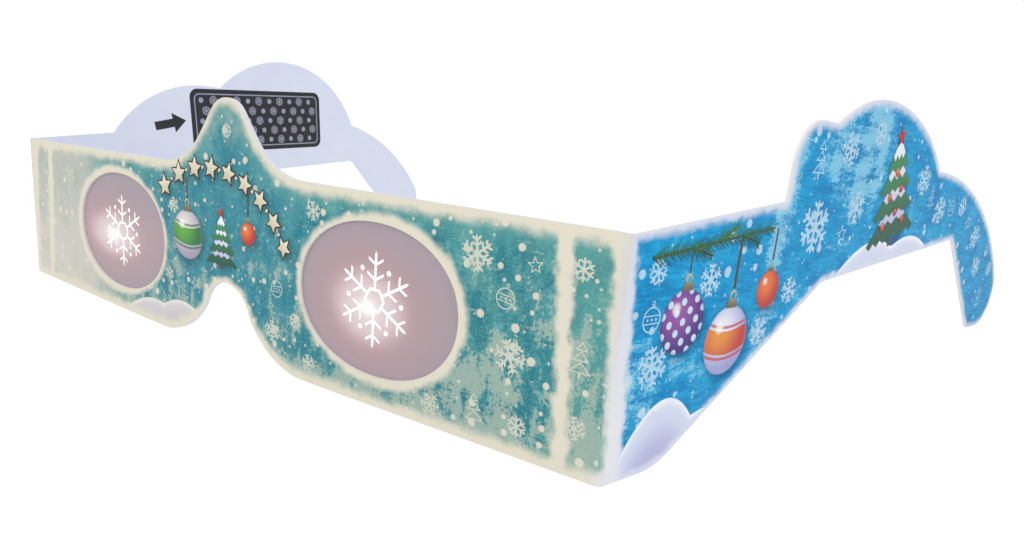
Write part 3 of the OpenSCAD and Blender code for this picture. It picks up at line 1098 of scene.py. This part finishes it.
for node, arm in arms.items():
    start = fold_at[node].x / mm
    side = 1 if start > 0 else -1
    foot = Vector(fir_foot[node])
    rise = Vector(fir_tip[node]) - foot
    across = Vector((rise.y, -rise.x)) / rise.length
    lean = math.degrees(math.atan2(-rise.x, rise.y))
    tall = rise.length / fir_height
    layout = scattered("blue", arm_spread)
    turned = twig_rise if side > 0 else twig_rise - 180
    layout += [(twig, *twig_at, 1.0, turned, 2), (needles, *twig_at, 1.0, turned, 3)]
    for ball in arm_balls:
        layout += hung(*ball)
    layout += snowy_fir(*foot, tall, lean)
    layout += [(red_star, *fir_tip[node], 1.9, lean, 5)]
    for out, share in fir_balls:
        ball = red_ball if out > 0 else orange_ball
        layout += [(ball, *(foot + across * out + rise * share), fir_ball_r, 0, 5)]
    layout = [
        (drawing, start + side * x, z, size, side * turned, layer)
        for drawing, x, z, size, turned, layer in layout
    ]
    outside = sheet_over(node, arm_out[node], fold_at[node].x)
    stamp(node + "_print", outside, layout, node)

    rounds = [ball[1:4] for ball in arm_balls]
    rounds += [(*(foot + rise * share), tall * radius) for share, radius in fir_shade]
    hills = (
        (10.2, -21.4, 7.6, 6.0), (18.6, -24.4, 6.0, 4.0),
        (foot.x - 5, -2.2, 12.0, 4.5), (foot.x + 9, -1.6, 12.0, 4.5),
    )
    shade_under(
        arm, arm_blank[node],
        [(start + side * x, z, radius) for x, z, radius in rounds],
        [(start + side * x, peak, half, fall) for x, peak, half, fall in hills],
    )


# A bright white snowflake with a ring of dots lies on each lens film and shows in the middle of the
# window. It is painted light for the bright image that the film shows, and it glows a little. It
# lies on the film's face, in the depth of the outer card.
dot_ring = 5.2

painted_glow_line, ink = finish("painted_glow_line")
edge = ink.noted_place("motif").away(0, 0)
shade(ink, Base_Color=ink.paint(edge.rise(1, 7), rgb(255, 255, 255), rgb(252, 249, 250)), Roughness=0.5)
# Painted glow: the lens figure shines a little, though it is no lamp.
shade(ink, Emission_Color=(1, 1, 1, 1), Emission_Strength=0.15)
lens_figure = snowflake(
    "lens_figure", painted_glow_line, reach=7.4, width=0.46, twigs=((3.0, 1.6), (5.3, 1.4)), heart=2.1, line=0.44
)
begin()
disc(0, 0, 0.42, 16)
lens_dot = drawn("lens_dot", painted_glow_line)
for side in ("left", "right"):
    low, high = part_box(side + "_lens_film")
    x = (low.x + high.x) / 2 / mm
    z = (low.z + high.z) / 2 / mm
    figure = [(lens_figure, x, z, 1.0, 0, 1)]
    for k in range(6):
        angle = math.radians(60 * k)
        dot_at = (x + dot_ring * math.cos(angle), z + dot_ring * math.sin(angle))
        figure += [(lens_dot, *dot_at, 1.0, 0, 1)]
    film = sheet_over(side + "_lens_film", forwards)
    stamp(side + "_lens_flake", film, figure, "front")


# The right arm's inner face has a dark panel of small flakes and dots in rows, with a pale line
# round it, and an arrow that points to it. All of it is plain ink on the bare card.
panel_w = 46
panel_h = 17.5
panel_corner = 2.4
line_in = 1.2
line_corner = 1.6
line_width = 0.35
panel_at = (61.5, 8.5)
panel_turn = 4.7
arrow_at = (32.4, 5.6)
arrow_turn = 14
rows = 5
columns = 11
row_gap = 2.85
column_gap = 3.8
stagger = 1.4


def speckled_ink(name, dark, light):
    material, ink = finish(name)
    speck = ink.place().cloud(0.4, 3, 0.7).rise(0.3, 0.7)
    shade(ink, Base_Color=ink.paint(speck, dark, light), Roughness=0.5)
    return material


def rounded_sheet(width, height, corner):
    bpy.ops.mesh.primitive_plane_add(size=width)
    bpy.ops.transform.resize(value=(1, height / width, 1))
    bpy.ops.mesh.bevel(affect="VERTICES", offset=corner, segments=8)


dark_print = speckled_ink("dark_print", rgb(30, 33, 38), rgb(46, 49, 56))
grey_print = speckled_ink("grey_print", rgb(148, 150, 172), rgb(170, 172, 194))

begin()
rounded_sheet(panel_w, panel_h, panel_corner)
panel = drawn("panel", dark_print)
begin()
rounded_sheet(panel_w - 2 * line_in, panel_h - 2 * line_in, line_corner)
hollowed(line_width)
panel_line = drawn("panel_line", grey_print)
grey_flake = snowflake("grey_flake", grey_print, reach=1.0, width=0.2, twigs=((0.5, 0.34),), heart=0.2)
begin()
disc(0, 0, 1.0, 16)
grey_dot = drawn("grey_dot", grey_print)
begin()
strip((-4.2, 0), (1.0, 0), 2.2)
strip((1.0, 0), (4.6, 0), 5.2, 0.02)
arrow = drawn("arrow", dark_print)

inner_stamps = [
    (panel, *panel_at, 1.0, panel_turn, 1),
    (panel_line, *panel_at, 1.0, panel_turn, 2),
    (arrow, *arrow_at, 1.0, arrow_turn, 1),
]
for row in range(rows):
    for column in range(columns):
        x = (column - (columns - 1) / 2) * column_gap + (row % 2 - 0.5) * stagger
        y = (row - (rows - 1) / 2) * row_gap
        reach = math.hypot(x, y)
        angle = math.atan2(y, x) + math.radians(panel_turn)
        kind, size = (grey_flake, 1.4) if (row + column) % 2 else (grey_dot, 0.75)
        spot = Vector(panel_at) + reach * Vector((math.cos(angle), math.sin(angle)))
        inner_stamps.append((kind, *spot, size, panel_turn, 2))
inside = sheet_over("right_arm", -arm_out["right_arm"])
stamp("right_arm_inner_print", inside, inner_stamps, "right_arm")

for drawing in drawings:
    bpy.data.objects.remove(drawing)
